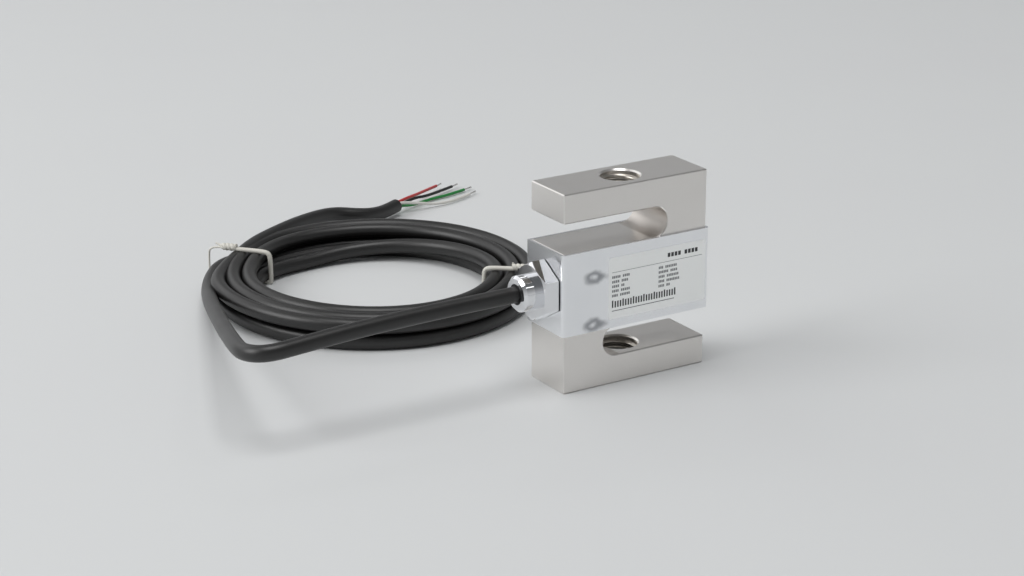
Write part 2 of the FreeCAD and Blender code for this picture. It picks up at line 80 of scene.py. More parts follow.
# ---- colours and nodes
def linear(hex_colour: str) -> tuple[float, ...]:
    """Turn an sRGB hex colour into the linear RGBA that shaders take.

    Args:
        hex_colour: Six hex digits after a hash.

    Returns:
        Red, green, blue and an alpha of one.
    """
    channels = []
    for start in (1, 3, 5):
        value = int(hex_colour[start:start + 2], 16) / 255
        channels.append(value / 12.92 if value <= 0.04045
                        else ((value + 0.055) / 1.055) ** 2.4)
    return (*channels, 1.0)


def per(size_mm: float) -> float:
    """Return the texture scale whose features are this many millimetres across."""
    return 1.0 / (size_mm * MM)


def add_node(tree: Tree, kind: str, settings: dict | None = None,
             inputs: dict | None = None) -> Node:
    """Add a node, set its properties, and fill or link its inputs.

    Args:
        tree: The node tree that it goes into.
        kind: The node's type name, less "ShaderNode".
        settings: Properties of the node and their values.
        inputs: Input names or indices, each with a value or the socket that feeds it.

    Returns:
        The new node.
    """
    node = tree.nodes.new(f"ShaderNode{kind}")
    for name, value in (settings or {}).items():
        setattr(node, name, value)
    for key, value in (inputs or {}).items():
        if isinstance(value, Socket):
            tree.links.new(value, node.inputs[key])
        else:
            node.inputs[key].default_value = value
    return node


MIX_A, MIX_B, MIX_RESULT = 6, 7, 2      # the colour sockets of a Mix node


# ---- finishes
@dataclass(frozen=True)
class Finish:
    """A surface as it was made: its tone, its gloss, and the fine grain that the eye meets.

    Attributes:
        name: The material's name.
        colour: Base colour, as sRGB hex.
        shade: The tone that drifts in over soft patches, as sRGB hex.
        roughness: Mean roughness.
        metallic: One for bare metal.
        ior: Index of refraction; a metal keeps the shader's own.
        patch_mm: Width of the soft patches of tone.
        polish: How far roughness swings either way between patches.
        grain_mm: Width of the grain.
        grain_depth_mm: Height of the grain.
        grain_along: How many times longer than wide the grain is along X, Y and Z.
    """
    name: str
    colour: str
    shade: str
    roughness: float
    metallic: float = 0.0
    ior: float = 1.5
    patch_mm: float = 9.0
    polish: float = 0.04
    grain_mm: float = 0.3
    grain_depth_mm: float = 0.004
    grain_along: Point = (1.0, 1.0, 1.0)

    def material(self) -> bpy.types.Material:
        """Return the finish's material, which is made the first time.

        Returns:
            The material, with its tone, polish and grain.
        """
        known = bpy.data.materials.get(self.name)
        if known:
            return known
        made = bpy.data.materials.new(self.name)
        made.use_nodes = True
        tree = made.node_tree
        shader = tree.nodes["Principled BSDF"]
        shader.inputs["Metallic"].default_value = self.metallic
        if not self.metallic:
            shader.inputs["IOR"].default_value = self.ior
        place = add_node(tree, "TexCoord").outputs["Object"]
        patches = add_node(tree, "TexNoise", inputs={
            "Vector": place, "Scale": per(self.patch_mm), "Detail": 3.0}).outputs["Fac"]
        tone = add_node(tree, "Mix", {"data_type": "RGBA"}, {
            "Factor": patches, MIX_A: linear(self.colour), MIX_B: linear(self.shade)})
        polish = add_node(tree, "MapRange", inputs={
            "Value": patches, "To Min": self.roughness - self.polish,
            "To Max": self.roughness + self.polish})
        squeezed = add_node(tree, "VectorMath", {"operation": "DIVIDE"},
                            {0: place, 1: self.grain_along})
        grain = add_node(tree, "TexNoise", inputs={
            "Vector": squeezed.outputs[0], "Scale": per(self.grain_mm), "Detail": 2.0})
        relief = add_node(tree, "Bump", inputs={
            "Height": grain.outputs["Fac"], "Distance": self.grain_depth_mm * MM})
        shader.inputs["Base Color"].default_value = linear(self.colour)
        tree.links.new(tone.outputs[MIX_RESULT], shader.inputs["Base Color"])
        tree.links.new(polish.outputs["Result"], shader.inputs["Roughness"])
        tree.links.new(relief.outputs["Normal"], shader.inputs["Normal"])
        self.mark(tree, shader, place)
        return made

    def mark(self, tree: Tree, shader: Node, place: Socket) -> None:
        """Add what this finish has beyond tone and grain; the plain finish has nothing.

        Args:
            tree: The material's node tree.
            shader: Its shader.
            place: The socket that gives the place on the part, in metres.
        """

    def overlay(self, tree: Tree, shader: Node, mask: Socket, colour: str) -> None:
        """Lay a colour over the base colour where a mask is one.

        Args:
            tree: The material's node tree.
            shader: Its shader.
            mask: The socket that gives the mask.
            colour: The colour laid over, as sRGB hex.
        """
        below = shader.inputs["Base Color"].links[0].from_socket
        laid = add_node(tree, "Mix", {"data_type": "RGBA"},
                        {"Factor": mask, MIX_A: below, MIX_B: linear(colour)})
        tree.links.new(laid.outputs[MIX_RESULT], shader.inputs["Base Color"])


@dataclass(frozen=True)
class ReflectionRingSheet(Finish):
    """Bright stainless sheet with painted reflections: faint dark rings, each with a dark
    streak beside it, copied from blurred reflections.

    Attributes:
        reflection_spots_mm: X and Z of the centre of each painted reflection ring.
        ring_mm: Radius of the ring.
        ring_width_mm: How far its edge fades either way.
        ring_depth: How dark the ring is, up to one.
        stretch: How many times wider than high the ring is.
        reflection_streak_mm: Where the painted reflection streak beside a ring starts and ends,
            along X from it.
        reflection_streak_half_mm: How far the streak fades up and down.
        reflection_streak_depth: How dark the streak is, up to one.
        wobble_mm: How far the outlines wander along X and Z.
        wobble_patch_mm: Over what distance they wander.
        reflection_tone: Colour of the painted reflections, as sRGB hex.
    """
    reflection_spots_mm: tuple[Span, ...] = ((-15.6, 35.2), (-15.6, 20.4))
    ring_mm: float = 1.3
    ring_width_mm: float = 1.5
    ring_depth: float = 0.8
    stretch: float = 1.5
    reflection_streak_mm: Span = (0.5, 6.5)
    reflection_streak_half_mm: float = 1.5
    reflection_streak_depth: float = 0.65
    wobble_mm: Span = (2.4, 1.8)
    wobble_patch_mm: float = 2.6
    reflection_tone: str = "#8C8E92"

    def mark(self, tree: Tree, shader: Node, place: Socket) -> None:
        """Paint a soft dark reflection ring round each spot, and a dark reflection streak to
        one side of it.

        Args:
            tree: The material's node tree.
            shader: Its shader.
            place: The socket that gives the place on the part, in metres.
        """
        wobble = add_node(tree, "TexNoise", inputs={
            "Vector": place, "Scale": per(self.wobble_patch_mm)}).outputs["Color"]
        wide, high = self.wobble_mm
        bent = add_node(tree, "VectorMath", {"operation": "MULTIPLY_ADD"}, {
            0: wobble, 1: (wide * MM, 0.0, high * MM), 2: place})
        start, end = self.reflection_streak_mm
        ring = (1 / self.stretch, 0.0, self.ring_mm, self.ring_width_mm, self.ring_depth)
        reflection_streak = (2 * self.reflection_streak_half_mm / (end - start), (start + end) / 2, 0.0,
                 self.reflection_streak_half_mm, self.reflection_streak_depth)
        # painted reflection: a dark ring and a dark streak at each spot, laid over the sheet's
        # colour
        for x, z in self.reflection_spots_mm:
            centre = ((x + wide / 2) * MM, 0.0, (z + high / 2) * MM)
            offset = add_node(tree, "VectorMath", {"operation": "SUBTRACT"},
                              {0: bent.outputs[0], 1: centre})
            for squeeze, along, radius, fade, depth in (ring, reflection_streak):
                flat = add_node(tree, "VectorMath", {"operation": "MULTIPLY_ADD"}, {
                    0: offset.outputs[0], 1: (squeeze, 0.0, 1.0),
                    2: (-along * squeeze * MM, 0.0, 0.0)})
                away = add_node(tree, "VectorMath", {"operation": "LENGTH"},
                                {0: flat.outputs[0]})
                past = add_node(tree, "Math", {"operation": "SUBTRACT"},
                                {0: away.outputs["Value"], 1: radius * MM})
                size = add_node(tree, "Math", {"operation": "ABSOLUTE"}, {0: past.outputs[0]})
                mask = add_node(tree, "MapRange", {"interpolation_type": "SMOOTHSTEP"}, {
                    "Value": size.outputs[0], "From Min": 0.0, "From Max": fade * MM,
                    "To Min": depth, "To Max": 0.0})
                self.overlay(tree, shader, mask.outputs["Result"], self.reflection_tone)


@dataclass(frozen=True)
class MilledPlate(Finish):
    """Plated steel whose slot ends keep the milling cutter's rougher surface, with painted
    shade darkening them.

    Attributes:
        ends_mm: X and Z of the axis of each round slot end.
        end_mm: Radius of the slot ends.
        edge_mm: How far outside that radius the milled surface starts and stops to fade.
        milled: Roughness of the milled surface.
        slot_end_shade: Colour of the painted shade on the slot ends, as sRGB hex.
    """
    ends_mm: tuple[Span, ...] = ()
    end_mm: float = 4.65
    edge_mm: Span = (0.02, 0.3)
    milled: float = 0.46
    slot_end_shade: str = "#CCC7C2"

    def mark(self, tree: Tree, shader: Node, place: Socket) -> None:
        """Roughen the slot ends and darken them with painted shade.

        Args:
            tree: The material's node tree.
            shader: Its shader.
            place: The socket that gives the place on the part, in metres.
        """
        near, far = self.edge_mm
        for x, z in self.ends_mm:
            flat = add_node(tree, "VectorMath", {"operation": "MULTIPLY"},
                            {0: place, 1: (1.0, 0.0, 1.0)})
            away = add_node(tree, "VectorMath", {"operation": "DISTANCE"},
                            {0: flat.outputs[0], 1: (x * MM, 0.0, z * MM)})
            mask = add_node(tree, "MapRange", {"interpolation_type": "SMOOTHSTEP"}, {
                "Value": away.outputs["Value"], "From Min": (self.end_mm + near) * MM,
                "From Max": (self.end_mm + far) * MM, "To Min": 1.0, "To Max": 0.0})
            below = shader.inputs["Roughness"].links[0].from_socket
            laid = add_node(tree, "Mix", {"data_type": "FLOAT"}, {
                "Factor": mask.outputs["Result"], "A": below, "B": self.milled})
            tree.links.new(laid.outputs["Result"], shader.inputs["Roughness"])
            # painted shade: a darker tone laid over the slot ends
            self.overlay(tree, shader, mask.outputs["Result"], self.slot_end_shade)


@dataclass(frozen=True)
class ResistorLacquer(Finish):
    """Lacquered ceramic resistor body with its printed bands.

    Attributes:
        start_mm: X of the body's left end.
        bands: Distance of each band from that end in millimetres, and its colour.
        band_mm: Half a band's width.
    """
    start_mm: float = 0.0
    bands: tuple[tuple[float, str], ...] = ((0.9, "#6B3A1E"), (1.6, "#1B1B1B"),
                                           (2.3, "#C9661F"), (3.3, "#B8902F"))
    band_mm: float = 0.16

    def mark(self, tree: Tree, shader: Node, place: Socket) -> None:
        """Print the bands round the body.

        Args:
            tree: The material's node tree.
            shader: Its shader.
            place: The socket that gives the place on the part, in metres.
        """
        along = add_node(tree, "SeparateXYZ", inputs={0: place}).outputs["X"]
        for offset, colour in self.bands:
            mask = add_node(tree, "Math", {"operation": "COMPARE"}, {
                0: along, 1: (self.start_mm + offset) * MM, 2: self.band_mm * MM})
            self.overlay(tree, shader, mask.outputs[0], colour)


@dataclass(frozen=True)
class RuledFilm(Finish):
    """A film or laminate with fine parallel lines, such as gauge foil or woven glass.

    Attributes:
        line: Colour of the lines, as sRGB hex.
        pitch_mm: From one line to the next.
        directions: Unit vectors that the lines are counted along.
        line_edge: Where a line's edge starts and ends, as shares of the pitch.
        line_depth: How strongly the lines show.
    """
    line: str = "#8E8A80"
    pitch_mm: float = 0.45
    directions: tuple[Point, ...] = ((1.0, 0.0, 0.0),)
    line_edge: Span = (0.12, 0.2)
    line_depth: float = 0.8

    def mark(self, tree: Tree, shader: Node, place: Socket) -> None:
        """Rule the lines across the film.

        Args:
            tree: The material's node tree.
            shader: Its shader.
            place: The socket that gives the place on the part, in metres.
        """
        pitch = self.pitch_mm * MM
        near, far = self.line_edge
        for direction in self.directions:
            along = add_node(tree, "VectorMath", {"operation": "DOT_PRODUCT"},
                             {0: place, 1: direction})
            turns = add_node(tree, "Math", {"operation": "PINGPONG"},
                             {0: along.outputs["Value"], 1: pitch / 2})
            mask = add_node(tree, "MapRange", inputs={
                "Value": turns.outputs[0], "From Min": pitch * near, "From Max": pitch * far,
                "To Min": self.line_depth, "To Max": 0.0})
            self.overlay(tree, shader, mask.outputs["Result"], self.line)


# Electroless nickel over ground tool steel: a warm satin grey with soft reflections and a
# grinding grain along the beam, so shallow that it only softens them, and rougher slot ends
# darkened by painted shade.
SATIN_NICKEL = MilledPlate("satin_nickel_plate", "#E6E3E0", "#E0DDD9", 0.29, metallic=1.0,
                           patch_mm=14.0, polish=0.03, grain_mm=0.5, grain_depth_mm=0.0004,
                           grain_along=(6.0, 1.0, 1.0),
                           ends_mm=((6.65, 48.35), (-6.65, 13.65)))
# The same plate on cut thread flanks, a little rougher from the tap, and darker: painted shade
# inside the holes.
SHADED_THREAD_NICKEL = Finish("thread_nickel_painted_shade", "#B4AFA8", "#A49F97", 0.3, metallic=1.0,
                       patch_mm=3.0, polish=0.05, grain_mm=0.2, grain_depth_mm=0.004)
# Cold-rolled stainless sheet: cooler and brighter than the beam, nearly flat, with a weak
# orange-peel waviness that softens what it mirrors.
STAINLESS = {"colour": "#F7F8FA", "shade": "#EDEFF2", "roughness": 0.24, "metallic": 1.0,
             "patch_mm": 11.0, "polish": 0.03, "grain_mm": 2.6, "grain_depth_mm": 0.003}
# The front cover's sheet, with painted reflections laid on it as dark rings and streaks.
STAINLESS_PAINTED_REFLECTIONS = ReflectionRingSheet("stainless_sheet_painted_reflections", **STAINLESS)
# The same sheet without the painted reflections.
PLAIN_STAINLESS = Finish("plain_stainless_sheet", **STAINLESS)
# Matt-coated silver polyester film: an even pale grey that never mirrors.
SILVER_FILM = Finish("silver_polyester_film", "#FBFCFB", "#F7F8F7", 0.31, metallic=1.0,
                     patch_mm=6.0, polish=0.03, grain_mm=0.3, grain_depth_mm=0.001)
# Resin ribbon print: flat dark grey, rougher than the film, and paler where it is fine.
RIBBON_INK = Finish("resin_ribbon_ink", "#3C3D3F", "#333436", 0.5, grain_mm=0.15)
FAINT_INK = Finish("fine_resin_print", "#848688", "#7A7C7E", 0.5, grain_mm=0.15)
# Chromium over polished brass: a true mirror, cool, with only a trace of waviness.
MIRROR_CHROME = Finish("mirror_chrome_plate", "#EDEEF0", "#E6E7EA", 0.07, metallic=1.0,
                       patch_mm=4.0, polish=0.02, grain_mm=1.4, grain_depth_mm=0.0015)
# Zinc-plated steel, dull and slightly blue.
ZINC_STEEL = Finish("zinc_plated_steel", "#B9BCBF", "#A5A8AC", 0.35, metallic=1.0)
# Moulded nitrile rubber: black, soft-edged highlights.
NITRILE = Finish("moulded_nitrile", "#161617", "#1D1D1E", 0.55, ior=1.52, grain_mm=0.2)
# Extruded PVC: near black with a broad soft shine and a fine drawn grain.
EXTRUDED_PVC = Finish("extruded_pvc_jacket", "#0C0B0B", "#100F0E", 0.42, ior=1.6,
                      patch_mm=12.0, polish=0.04, grain_mm=0.6, grain_depth_mm=0.003)
# Tinned copper: soft silver, brighter than steel.
TINNED_COPPER = Finish("tinned_copper", "#D9D6D0", "#C8C3BA", 0.28, metallic=1.0,
                       patch_mm=1.5, grain_mm=0.1)
# PVC-coated tie wire: creamy white, half matt.
COATED_WIRE = Finish("pvc_coated_tie_wire", "#D6D4CC", "#CCC9C0", 0.5, ior=1.5,
                     patch_mm=3.0, grain_mm=0.5, grain_depth_mm=0.004)
# Glass-epoxy board under green solder resist, its weave just visible.
GLASS_EPOXY = RuledFilm("glass_epoxy_board", "#2E6B3C", "#285F35", 0.4, ior=1.55,
                        line="#3A7A48", pitch_mm=0.5,
                        directions=((1.0, 0.0, 0.0), (0.0, 0.0, 1.0)))
# Polyimide film with a foil grid etched at 45 degrees: amber with dull silver lines.
FOIL_GAUGE = RuledFilm("polyimide_foil_gauge", "#B5762C", "#A96C27", 0.35, ior=1.7,
                       line="#9B9489", pitch_mm=0.4,
                       directions=((0.7071, 0.0, 0.7071),))
# Silicone potting gel: milky, wet-looking.
POTTING_GEL = Finish("silicone_potting_gel", "#CFCFC8", "#C4C4BC", 0.2, ior=1.41,
                     patch_mm=5.0, grain_mm=1.5)


def insulation(name: str, colour: str, shade: str) -> Finish:
    """Return the finish of one core's thin PVC insulation, glossier than the jacket."""
    return Finish(f"{name}_core_pvc", colour, shade, 0.38, ior=1.53, patch_mm=4.0,
                  grain_mm=0.2)


CORE_FINISHES = {
    "red": insulation("red", "#C23A3A", "#B53232"),
    "black": insulation("black", "#222223", "#1B1B1C"),
    "green": insulation("green", "#1E8A3E", "#1A7D37"),
    "white": insulation("white", "#DEDDD8", "#D4D3CC"),
}


class Slot(Enum):
    """Material slot names that go with the new pieces; seat takes them but does not use them.
    """
    BEAM = "nickel_plated_steel"
    LABEL = "label_film"
    JACKET = "cable_jacket"
    CONDUCTOR = "tinned_copper"
    TIE = "tie_plastic"
    RED = "red_insulation"
    BLACK = "black_insulation"
    GREEN = "green_insulation"
    WHITE = "white_insulation"


# ---- making pieces
def seat(piece: Piece, finish: Finish, slot: Slot, *nodes: str) -> Piece:
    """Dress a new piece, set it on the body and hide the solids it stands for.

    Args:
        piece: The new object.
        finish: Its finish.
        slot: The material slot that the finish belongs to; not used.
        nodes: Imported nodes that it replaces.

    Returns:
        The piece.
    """
    piece.data.materials.append(finish.material())
    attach(piece, BODY)
    if nodes:
        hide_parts(*nodes)
    LOG.info("%s: %s", piece.name, finish.name)
    return piece


def add_mesh(name: str, points: Sequence[Vector], faces: Sequence[Sequence[int]],
             smooth: bool = False) -> Piece:
    """Make a mesh object from its points and faces, and link it to the scene.

    Args:
        name: The object's name.
        points: Its vertices.
        faces: The vertices round each face, by number.
        smooth: Whether it is shaded smooth.

    Returns:
        The object.
    """
    mesh = bpy.data.meshes.new(name)
    mesh.from_pydata([tuple(point) for point in points], [], [tuple(f) for f in faces])
    mesh.shade_smooth() if smooth else mesh.shade_flat()
    mesh.validate()
    piece = bpy.data.objects.new(name, mesh)
    bpy.context.scene.collection.objects.link(piece)
    return piece


def add_strand(name: str, routes: Sequence[Sequence[Vector]], diameter: float,
               resolution: int = 8, round_steps: int = 4) -> Piece:
    """Make a round wire or cable as a smooth curve with one spline for each route.

    Args:
        name: The object's name.
        routes: Control points of each spline.
        diameter: Diameter of the wire.
        resolution: Steps along the curve between two control points.
        round_steps: Steps in a quarter of the wire's section, less one.

    Returns:
        The curve object.
    """
    curve = bpy.data.curves.new(name, "CURVE")
    curve.dimensions = "3D"
    curve.twist_mode = "MINIMUM"
    curve.bevel_depth = diameter / 2
    curve.bevel_resolution = round_steps
    curve.use_fill_caps = True
    for route in routes:
        spline = curve.splines.new("NURBS")
        spline.points.add(len(route) - 1)
        for control, point in zip(spline.points, route):
            control.co = (*point, 1.0)
        spline.order_u = 3
        spline.use_endpoint_u = True
        spline.resolution_u = resolution
    piece = bpy.data.objects.new(name, curve)
    bpy.context.scene.collection.objects.link(piece)
    return piece


def smoothstep(value: float) -> float:
    """Ease a value from 0 to 1, flat at both ends."""
    value = min(max(value, 0.0), 1.0)
    return value * value * (3 - 2 * value)


def angle_between(first: float, second: float) -> float:
    """Return the difference of two angles, from minus half a turn to half a turn."""
    return (first - second + math.pi) % math.tau - math.pi


# ---- camera, lamps, floor
@dataclass
class SoftLamp:
    """One softbox: a square or oblong area lamp that faces the part.

    Attributes:
        name: The lamp's name.
        towards: Direction from the part to the lamp.
        distance: How far off it stands.
        size: Its two sides.
        power: Its power in watts.
    """
    name: str
    towards: Point
    distance: float
    size: Span
    power: float

    def build(self, aim: Vector) -> Piece:
        """Hang the lamp so that it faces a point, and return it.

        Args:
            aim: The point.

        Returns:
            The lamp.
        """
        light = bpy.data.lights.new(self.name, "AREA")
        light.shape = "RECTANGLE"
        light.size, light.size_y = self.size
        light.energy = self.power
        lamp = bpy.data.objects.new(self.name, light)
        away = Vector(self.towards).normalized()
        lamp.location = aim + away * self.distance
        lamp.rotation_euler = away.to_track_quat("Z", "Y").to_euler()
        bpy.context.scene.collection.objects.link(lamp)
        return lamp


@dataclass
class Studio:
    """A pale floor under softboxes, and the camera that looks across it."""
    eye: Vector = field(default_factory=lambda: Vector((-0.38112, -0.55841, 0.26349)))
    heading: float = -31.586
    pitch: float = -19.349
    roll: float = -0.20
    lens: float = 83.23
    floor_half: float = 6.0
    floor_colour: str = "#D4D6D6"
    floor_shade: str = "#D1D2D3"
    sky: tuple[tuple[float, str], ...] = (
        (0.0, "#C6C7C8"), (0.52, "#C6C7C8"), (0.64, "#A6A7A8"), (0.80, "#6E6F70"),
        (1.0, "#5E5F60"))
    lamps: tuple[SoftLamp, ...] = (
        SoftLamp("key_softbox", (-0.80, 0.16, 0.57), 2.6, (1.6, 1.6), 35.5),
        SoftLamp("overhead_softbox", (-0.05, -0.12, 0.97), 2.2, (1.2, 1.2), 21.5),
        SoftLamp("back_softbox", (-0.34, 0.76, 0.55), 2.4, (2.8, 1.7), 13.0),
        SoftLamp("rear_strip", (0.49, 0.58, 0.65), 1.5, (0.6, 0.14), 0.5),
        SoftLamp("front_panel", (0.49, -0.11, 0.86), 1.5, (0.36, 0.34), 0.5),
        SoftLamp("front_pane", (0.49, -0.60, 0.62), 1.5, (0.12, 0.12), 0.08),
    )

    def build(self) -> None:
        """Make the camera, the floor, the sky and the lamps."""
        self.place_camera()
        self.lay_floor()
        self.light_sky()
        middle = (cad_box[0] + cad_box[1]) / 2
        for lamp in self.lamps:
            lamp.build(middle)

    def place_camera(self) -> None:
        """Stand the camera and make it the scene's own."""
        data = bpy.data.cameras.new("camera")
        data.lens = self.lens
        data.sensor_width = 36.0
        data.clip_start = 0.01
        camera = bpy.data.objects.new("camera", data)
        turn = (Matrix.Rotation(math.radians(self.heading), 4, "Z")
                @ Matrix.Rotation(math.radians(90 + self.pitch), 4, "X")
                @ Matrix.Rotation(math.radians(self.roll), 4, "Z"))
        camera.matrix_world = Matrix.Translation(self.eye) @ turn
        bpy.context.scene.collection.objects.link(camera)
        bpy.context.scene.camera = camera

    def lay_floor(self) -> None:
        """Lay a wide sheet of pale matt board under the part."""
        half = self.floor_half
        corners = [Vector((x * half, y * half, 0)) for x, y in
                   ((-1, -1), (1, -1), (1, 1), (-1, 1))]
        floor = add_mesh("studio_floor", corners, [(0, 1, 2, 3)])
        # Matt coated board: an even pale grey whose faint clouding breaks up flat light.
        board = Finish("matt_coated_board", self.floor_colour, self.floor_shade, 0.6,
                       patch_mm=160.0, polish=0.03, grain_mm=1.2, grain_depth_mm=0.01)
        floor.data.materials.append(board.material())

    def light_sky(self) -> None:
        """Give the world a dim dome over a paler horizon."""
        world = bpy.data.worlds.new("studio_dome")
        bpy.context.scene.world = world
        world.use_nodes = True
        tree = world.node_tree
        direction = add_node(tree, "TexCoord").outputs["Generated"]
        height = add_node(tree, "SeparateXYZ", inputs={0: direction}).outputs["Z"]
        level = add_node(tree, "MapRange", inputs={"Value": height, "From Min": -1.0})
        ramp = add_node(tree, "ValToRGB", inputs={0: level.outputs["Result"]})
        stops = ramp.color_ramp.elements
        while len(stops) < len(self.sky):
            stops.new(0.5)
        for stop, (position, colour) in zip(stops, self.sky):
            stop.position = position
            stop.color = linear(colour)
        tree.links.new(ramp.outputs["Color"], tree.nodes["Background"].inputs["Color"])


# ---- signal cable
@dataclass
class SignalCable:
    """The four-core signal cable: straight out of the gland, folded back, coiled and cut.

    The coil has two layers of three turns. The bottom one winds inwards, the cable climbs
    the inner turn's side, and the top one winds outwards. All turns change place in one
    short stretch of the coil, at the left tie, and fan out a little between the ties. The
    lead squeezes in under the top layer beside that tie, and lifts it there.
    """
    diameter: float = 5.0 * MM
    length: float = 2.09
    coil_centre: Vector = field(default_factory=lambda: Vector((-0.0305, 0.0995, 0.0)))
    outer_turn: float = 51.5 * MM
    pitch: float = 5.1 * MM
    layer_turns: int = 3
    points_each_turn: int = 20
    join_angle: float = math.radians(100.0)
    crossover: float = 40.0 / 360.0
    climb: float = 140.0 / 360.0
    tie_angles: Span = (math.radians(131.0), math.radians(-40.0))
    tie_lift: float = 0.9 * MM
    tie_lift_spread: float = math.radians(13.0)
    squeeze_angle: float = math.radians(-170.0)
    squeeze_rise: float = 1.0 * MM
    squeeze_in: tuple[float, ...] = (1.6 * MM, 1.3 * MM, 0.8 * MM)
    fan: tuple[float, ...] = (0.4 * MM, 0.1 * MM, -0.3 * MM, -0.6 * MM, 0.1 * MM, 0.6 * MM)
    lead: tuple[Point, ...] = (
        (-0.0365, 0.0, 0.031), (-0.062, 0.0, 0.031), (-0.089, 0.0001, 0.0304),
        (-0.1075, 0.0, 0.0293), (-0.1177, 0.0, 0.0287), (-0.1218, 0.0065, 0.0279),
        (-0.1181, 0.0196, 0.0252), (-0.1085, 0.0483, 0.0193), (-0.0976, 0.0788, 0.0132),
        (-0.0897, 0.0998, 0.0088), (-0.0822, 0.118, 0.0052), (-0.075, 0.132, 0.0042),
        (-0.0668, 0.1425, 0.0042), (-0.0565, 0.1484, 0.003))
    tail: tuple[Point, ...] = (
        (-0.0545, 0.144, 0.0088), (-0.0431, 0.1517, 0.0086), (-0.0291, 0.1602, 0.008),
        (-0.0156, 0.1673, 0.0068), (-0.0077, 0.1692, 0.0059), (-0.0009, 0.167, 0.0048),
        (0.005, 0.1668, 0.0039), (0.012, 0.1694, 0.0032), (0.0187, 0.1731, 0.0034))

    def slack(self, angle: float) -> float:
        """Return how free a turn is here: nothing at a tie, one midway between two.

        Args:
            angle: Angle round the coil's centre, in radians.

        Returns:
            The freedom, from 0 to 1.
        """
        left, right = self.tie_angles
        past = (left - angle) % math.tau
        span = (left - right) % math.tau
        share = past / span if past < span else (past - span) / (math.tau - span)
        return math.sin(math.pi * share) ** 2

    def coil_point(self, wound: float) -> Vector:
        """Return a control point of the coil.

        Args:
            wound: Turns from the place where the lead joins the bottom layer.

        Returns:
            The point, in metres.
        """
        angle = self.join_angle - math.tau * wound
        turn = min(int(wound), 2 * self.layer_turns - 1)
        part = wound - turn
        crossed = smoothstep((part - 1 + self.crossover) / self.crossover)
        squeeze = max(0.0, math.cos(angle_between(angle, self.squeeze_angle))) ** 2
        floor = self.diameter / 2
        inner_turn = self.outer_turn - self.pitch * (self.layer_turns - 1)
        if turn < self.layer_turns:
            radius = (self.outer_turn - self.pitch * (turn + crossed)
                      - self.squeeze_in[turn] * squeeze)
            height = floor
        elif turn == self.layer_turns and part < self.climb:
            swing = math.pi / 2 * part / self.climb
            radius = inner_turn - self.pitch * math.cos(swing)
            height = floor + self.diameter * math.sin(swing)
        else:
            radius = inner_turn + self.pitch * (turn - self.layer_turns + crossed)
            height = floor + self.diameter + self.squeeze_rise * squeeze
        radius += self.fan[turn] * self.slack(angle)
        for tie in self.tie_angles:
            reach = angle_between(angle, tie) / self.tie_lift_spread
            height += self.tie_lift * math.exp(-reach * reach)
        # The smooth curve passes inside its control points, so they stand out by this much.
        radius /= math.cos(math.pi / self.points_each_turn)
        around = Vector((math.cos(angle), math.sin(angle), 0.0))
        return self.coil_centre + around * radius + Vector((0.0, 0.0, height))

    def route(self) -> list[Vector]:
        """Return the whole cable's control points, from the gland to the cut end."""
        turns = 2 * self.layer_turns - self.crossover
        count = int(turns * self.points_each_turn)
        coil = [self.coil_point(step / self.points_each_turn) for step in range(count + 1)]
        return [Vector(p) for p in self.lead] + coil + [Vector(p) for p in self.tail]

    def build(self) -> Piece:
        """Make the cable as one smooth curve and return it."""
        cable = add_strand("signal_cable", [self.route()], self.diameter, resolution=6,
                           round_steps=7)
        return seat(cable, EXTRUDED_PVC, Slot.JACKET, "cable_lead", "cable_coil", "cable_tail")


